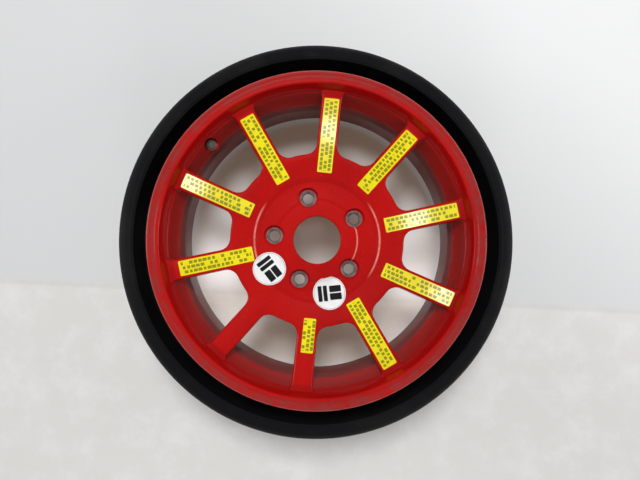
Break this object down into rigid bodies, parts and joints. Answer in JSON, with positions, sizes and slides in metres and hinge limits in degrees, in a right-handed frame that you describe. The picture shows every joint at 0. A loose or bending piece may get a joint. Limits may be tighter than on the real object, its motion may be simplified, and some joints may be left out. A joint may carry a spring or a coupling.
{
  "type": "space saver spare wheel",
  "caption": "Collapsible space saver spare wheel: one-piece red cast wheel with ten straight spokes, folded tyre, clamp-in valve and face stickers.",
  "frame": {"origin": "centre of the centre bore at the hub mounting face", "axes": "+Z along the wheel's axis, out of its face; the wheel lies flat on its inboard flange, +X and +Y are right and up in the picture"},
  "size_m": [0.5997, 0.5998, 0.19],
  "materials": {
    "red_paint": "gloss paint on cast aluminium",
    "tyre_rubber": "matt black rubber",
    "valve_metal": "nickel plated",
    "valve_brass": "plain brass",
    "seal_rubber": "moulded rubber",
    "cap_plastic": "grey moulded plastic",
    "yellow_sticker": "glossy film",
    "white_sticker": "glossy film"
  },
  "bodies": {
    "root": {"wheel": "red_paint", "tyre": "tyre_rubber", "valve_stem": "valve_metal", "valve_grommet": "seal_rubber", "valve_washer": "valve_metal", "valve_nut": "valve_metal", "valve_core": "valve_brass", "strip_012": "yellow_sticker", "strip_048": "yellow_sticker", "strip_084": "yellow_sticker", "strip_120": "yellow_sticker", "strip_156": "yellow_sticker", "strip_192": "yellow_sticker", "strip_264": "yellow_sticker", "strip_300": "yellow_sticker", "strip_336": "yellow_sticker", "disc_left": "white_sticker", "disc_right": "white_sticker"},
    "cap": {"valve_cap": "cap_plastic", "cap_seal": "seal_rubber"},
    "pin": {"valve_pin": "valve_brass"}
  },
  "joints": [
    {"name": "cap_off", "type": "slide", "parent": "root", "child": "cap", "axis": [0.2048, -0.1844, 0.9613], "range_m": [0, 0.018]},
    {"name": "pin_press", "type": "slide", "parent": "root", "child": "pin", "axis": [-0.2048, 0.1844, -0.9613], "range_m": [0, 0.001], "stiffness_N_per_m": 1500, "springref_m": -0.001}
  ]
}
